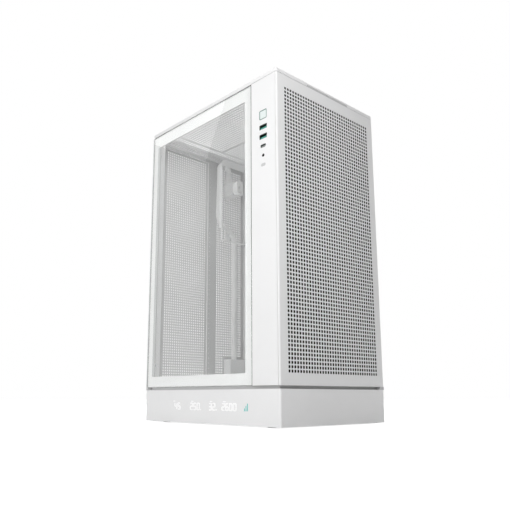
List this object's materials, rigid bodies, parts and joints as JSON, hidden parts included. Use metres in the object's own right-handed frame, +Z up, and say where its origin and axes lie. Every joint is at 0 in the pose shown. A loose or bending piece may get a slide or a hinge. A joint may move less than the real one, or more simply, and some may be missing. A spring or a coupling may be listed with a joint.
{
  "type": "desktop computer tower case",
  "caption": "Slim white upright computer case with a perforated front, a glass side with ports on a pillar, and a plinth with a lit readout.",
  "frame": {"origin": "on the floor, under the middle of the case", "axes": "+Z up, +Y to the rear, -Y the perforated front, -X the glass side"},
  "size_m": [0.202, 0.272, 0.4435],
  "materials": {
    "white_steel": "matt white powder coat",
    "white_plastic": "fine satin moulded texture",
    "white_lead": "soft satin flexible vinyl",
    "housing_plastic": "satin",
    "black_plastic": "satin black",
    "tempered_glass": "clear tempered glass with a white printed border",
    "foot_rubber": "matt grey rubber",
    "circuit_board": "green solder mask",
    "light_guide": "frosted light guide, faint mint",
    "port_tongue": "moulded teal",
    "port_shell": "plated pressed steel",
    "plated_steel": "bright zinc plating",
    "filter_mesh": "dark woven nylon mesh",
    "brass": "machined"
  },
  "bodies": {
    "chassis": {"plinth_shell": "white_plastic", "plinth_floor": "white_steel", "floor_screws": "plated_steel", "feet": "foot_rubber", "display_diffuser": "light_guide", "display_board": "circuit_board", "display_screws": "plated_steel", "plinth_neck": "white_steel", "base_plate": "white_steel", "slot_covers": "white_steel", "slot_clamp": "white_steel", "slot_screws": "plated_steel", "front_left_post": "white_steel", "front_right_post": "white_steel", "rear_left_post": "white_steel", "rear_right_post": "white_steel", "top_frame": "white_steel", "rear_wall": "white_steel", "motherboard_tray": "white_steel", "standoffs": "brass", "tray_grommets": "foot_rubber", "drive_bracket": "white_steel", "psu_bracket": "white_steel", "bracket_screws": "plated_steel", "ac_lead": "white_lead", "c13_plug": "white_lead", "inlet_housing": "housing_plastic", "c14_inlet": "black_plastic", "inlet_pins": "plated_steel", "io_pillar": "white_plastic", "io_board": "circuit_board", "button_ring": "light_guide", "button_switch": "black_plastic", "usb_a_upper": "port_shell", "usb_a_lower": "port_shell", "usb_tongues": "port_tongue", "usb_c_socket": "port_shell", "usb_c_tongue": "port_tongue", "audio_jack": "black_plastic", "status_window": "light_guide", "snap_sockets": "white_plastic"},
    "power_button": {"power_button": "white_plastic"},
    "side_panel": {"side_glass": "tempered_glass", "glass_frame": "white_steel", "glass_snaps": "plated_steel"},
    "front_cover": {"front_panel": "white_steel", "front_filter": "filter_mesh", "front_snaps": "plated_steel"},
    "right_cover": {"right_panel": "white_steel", "right_snaps": "plated_steel"},
    "lid": {"top_lid": "white_steel", "lid_snaps": "plated_steel"}
  },
  "joints": [
    {"name": "power_button_press", "type": "slide", "parent": "chassis", "child": "power_button", "axis": [1, 0, 0], "range_m": [0, 0.0012], "stiffness_N_per_m": 900},
    {"name": "side_panel_off", "type": "slide", "parent": "chassis", "child": "side_panel", "axis": [-1, 0, 0], "range_m": [0, 0.06]},
    {"name": "front_cover_off", "type": "slide", "parent": "chassis", "child": "front_cover", "axis": [0, -1, 0], "range_m": [0, 0.06]},
    {"name": "right_cover_off", "type": "slide", "parent": "chassis", "child": "right_cover", "axis": [1, 0, 0], "range_m": [0, 0.06]},
    {"name": "lid_off", "type": "slide", "parent": "chassis", "child": "lid", "axis": [0, 0, 1], "range_m": [0, 0.06]}
  ]
}
